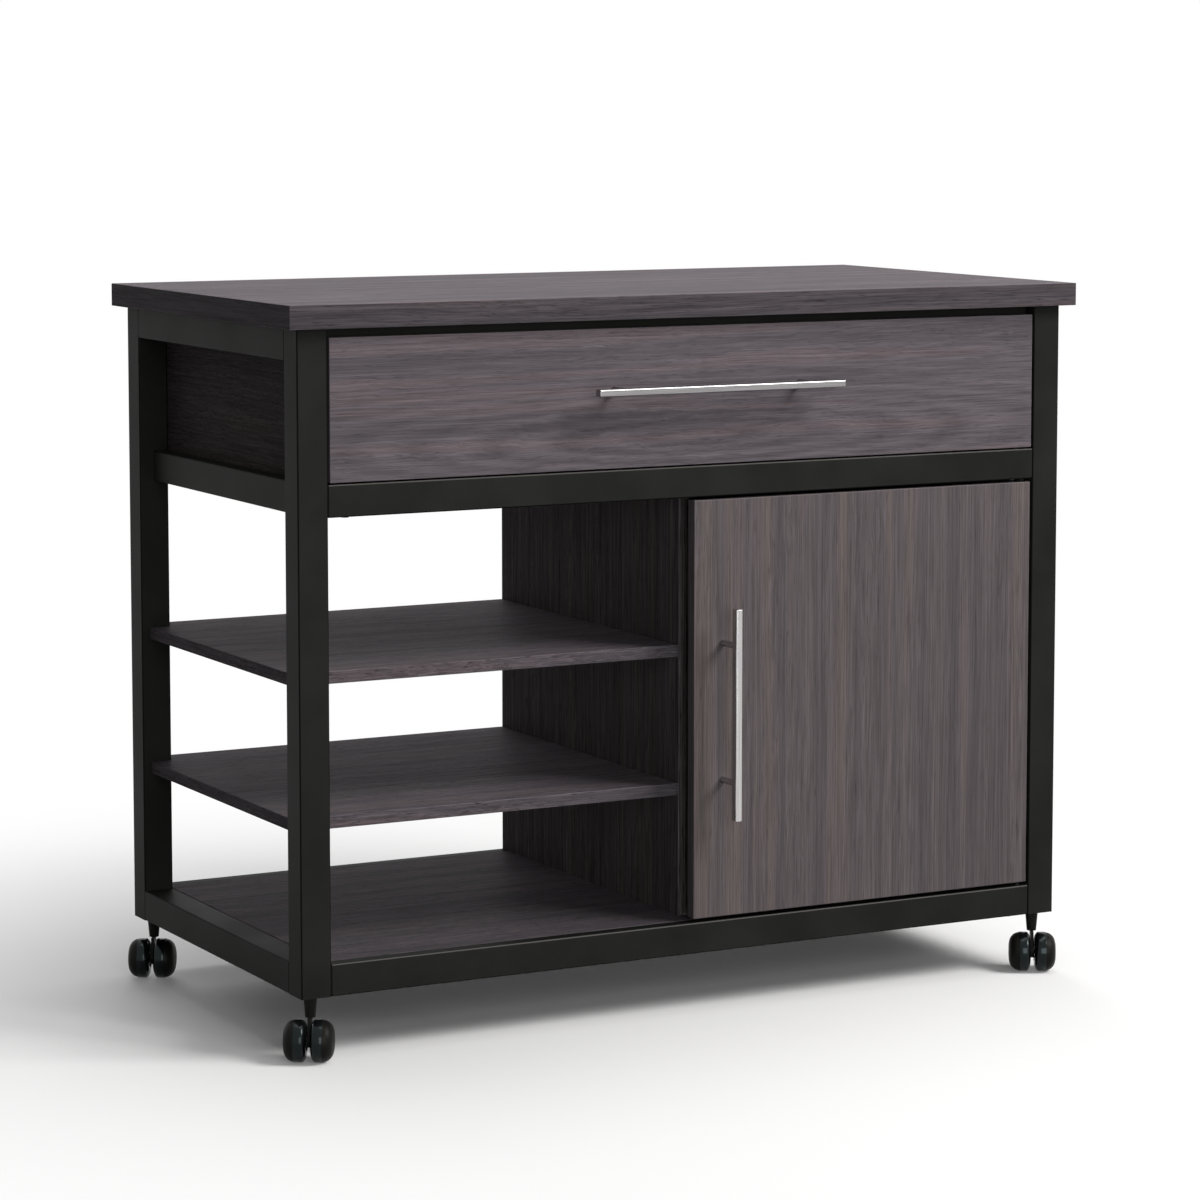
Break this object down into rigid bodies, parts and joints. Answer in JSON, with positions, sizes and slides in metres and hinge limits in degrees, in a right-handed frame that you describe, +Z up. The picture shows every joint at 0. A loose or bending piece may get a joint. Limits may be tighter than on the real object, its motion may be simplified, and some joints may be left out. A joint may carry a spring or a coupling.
{
  "type": "kitchen cart",
  "caption": "Kitchen cart with a thick worktop, a wide drawer, a cupboard with a pivoted door, open shelves beside it, a square-tube frame and twin-wheel swivel casters.",
  "frame": {"origin": "on the floor, under the middle of the worktop's length and of the cart's depth with its handles", "axes": "+X to the right seen from the front, -Y towards the user in front of the drawer, +Z up"},
  "size_m": [1.0832, 0.587, 0.88],
  "materials": {
    "frame_coat": "satin black powder coat",
    "worktop_laminate": "matt grey-brown woodgrain laminate",
    "front_laminate": "matt grey-brown woodgrain laminate",
    "carcass_laminate": "matt grey-brown woodgrain laminate",
    "drawer_box_board": "matt grey melamine",
    "handle_metal": "polished",
    "zinc_steel": "bright zinc",
    "dowel_wood": "plain beech",
    "nylon": "matt black nylon",
    "hood_plastic": "semi-gloss black",
    "wheel_plastic": "glossy black"
  },
  "bodies": {
    "frame": {"left_side_frame": "frame_coat", "right_side_frame": "frame_coat", "front_top_rail": "frame_coat", "front_middle_rail": "frame_coat", "front_bottom_rail": "frame_coat", "rear_top_rail": "frame_coat", "rear_middle_rail": "frame_coat", "rear_bottom_rail": "frame_coat", "side_middle_rails": "frame_coat", "rail_spigots": "frame_coat", "board_cleats": "frame_coat", "worktop": "worktop_laminate", "left_bay_panel": "carcass_laminate", "right_bay_panel": "carcass_laminate", "rear_bay_panel": "carcass_laminate", "deck_panel": "carcass_laminate", "divider_panel": "carcass_laminate", "cupboard_side_panel": "carcass_laminate", "cupboard_back_panel": "carcass_laminate", "bottom_shelf": "carcass_laminate", "upper_open_shelf": "carcass_laminate", "lower_open_shelf": "carcass_laminate", "cupboard_shelf": "carcass_laminate", "cleat_screws": "zinc_steel", "rail_screws": "zinc_steel", "worktop_screws": "zinc_steel", "shelf_pins": "zinc_steel", "slide_outer_members": "zinc_steel", "door_pivot_pins": "zinc_steel", "caster_stems": "zinc_steel", "panel_dowels": "dowel_wood", "caster_sockets": "nylon", "magnetic_catch": "nylon"},
    "slide_members": {"slide_middle_members": "zinc_steel"},
    "drawer": {"drawer_front": "front_laminate", "drawer_box_front": "drawer_box_board", "drawer_left_side": "drawer_box_board", "drawer_right_side": "drawer_box_board", "drawer_back": "drawer_box_board", "drawer_bottom": "drawer_box_board", "drawer_handle": "handle_metal", "drawer_handle_screws": "zinc_steel", "slide_inner_members": "zinc_steel"},
    "door": {"door_panel": "front_laminate", "door_handle": "handle_metal", "door_handle_screws": "zinc_steel", "door_pivot_bushes": "nylon", "strike_plate": "zinc_steel"},
    "hood_front_left": {"caster_hood_front_left": "hood_plastic"},
    "wheel_front_left_a": {"caster_wheel_front_left_a": "wheel_plastic"},
    "wheel_front_left_b": {"caster_wheel_front_left_b": "wheel_plastic"},
    "hood_front_right": {"caster_hood_front_right": "hood_plastic"},
    "wheel_front_right_a": {"caster_wheel_front_right_a": "wheel_plastic"},
    "wheel_front_right_b": {"caster_wheel_front_right_b": "wheel_plastic"},
    "hood_rear_left": {"caster_hood_rear_left": "hood_plastic"},
    "wheel_rear_left_a": {"caster_wheel_rear_left_a": "wheel_plastic"},
    "wheel_rear_left_b": {"caster_wheel_rear_left_b": "wheel_plastic"},
    "hood_rear_right": {"caster_hood_rear_right": "hood_plastic"},
    "wheel_rear_right_a": {"caster_wheel_rear_right_a": "wheel_plastic"},
    "wheel_rear_right_b": {"caster_wheel_rear_right_b": "wheel_plastic"}
  },
  "joints": [
    {"name": "drawer_travel", "type": "slide", "parent": "frame", "child": "drawer", "axis": [0, -1, 0], "range_m": [0, 0.35]},
    {"name": "slide_middle_travel", "type": "slide", "parent": "frame", "child": "slide_members", "axis": [0, -1, 0], "range_m": [0, 0.175]},
    {"name": "door_swing", "type": "hinge", "parent": "frame", "child": "door", "pos_m": [0.4715, -0.2435, 0.373], "axis": [0, 0, 1], "range_deg": [0, 105]},
    {"name": "swivel_front_left", "type": "hinge", "parent": "frame", "child": "hood_front_left", "pos_m": [-0.504, -0.2325, 0.06], "axis": [0, 0, 1], "continuous": true},
    {"name": "roll_front_left_a", "type": "hinge", "parent": "hood_front_left", "child": "wheel_front_left_a", "pos_m": [-0.512, -0.24636, 0.025], "axis": [0.866, -0.5, 0], "continuous": true},
    {"name": "roll_front_left_b", "type": "hinge", "parent": "hood_front_left", "child": "wheel_front_left_b", "pos_m": [-0.512, -0.24636, 0.025], "axis": [0.866, -0.5, 0], "continuous": true},
    {"name": "swivel_front_right", "type": "hinge", "parent": "frame", "child": "hood_front_right", "pos_m": [0.504, -0.2325, 0.06], "axis": [0, 0, 1], "continuous": true},
    {"name": "roll_front_right_a", "type": "hinge", "parent": "hood_front_right", "child": "wheel_front_right_a", "pos_m": [0.496, -0.24636, 0.025], "axis": [0.866, -0.5, 0], "continuous": true},
    {"name": "roll_front_right_b", "type": "hinge", "parent": "hood_front_right", "child": "wheel_front_right_b", "pos_m": [0.496, -0.24636, 0.025], "axis": [0.866, -0.5, 0], "continuous": true},
    {"name": "swivel_rear_left", "type": "hinge", "parent": "frame", "child": "hood_rear_left", "pos_m": [-0.504, 0.2595, 0.06], "axis": [0, 0, 1], "continuous": true},
    {"name": "roll_rear_left_a", "type": "hinge", "parent": "hood_rear_left", "child": "wheel_rear_left_a", "pos_m": [-0.512, 0.24564, 0.025], "axis": [0.866, -0.5, 0], "continuous": true},
    {"name": "roll_rear_left_b", "type": "hinge", "parent": "hood_rear_left", "child": "wheel_rear_left_b", "pos_m": [-0.512, 0.24564, 0.025], "axis": [0.866, -0.5, 0], "continuous": true},
    {"name": "swivel_rear_right", "type": "hinge", "parent": "frame", "child": "hood_rear_right", "pos_m": [0.504, 0.2595, 0.06], "axis": [0, 0, 1], "continuous": true},
    {"name": "roll_rear_right_a", "type": "hinge", "parent": "hood_rear_right", "child": "wheel_rear_right_a", "pos_m": [0.496, 0.24564, 0.025], "axis": [0.866, -0.5, 0], "continuous": true},
    {"name": "roll_rear_right_b", "type": "hinge", "parent": "hood_rear_right", "child": "wheel_rear_right_b", "pos_m": [0.496, 0.24564, 0.025], "axis": [0.866, -0.5, 0], "continuous": true}
  ],
  "couplings": [
    {"joint": "slide_middle_travel", "follows": "drawer_travel", "ratio": 0.5}
  ]
}
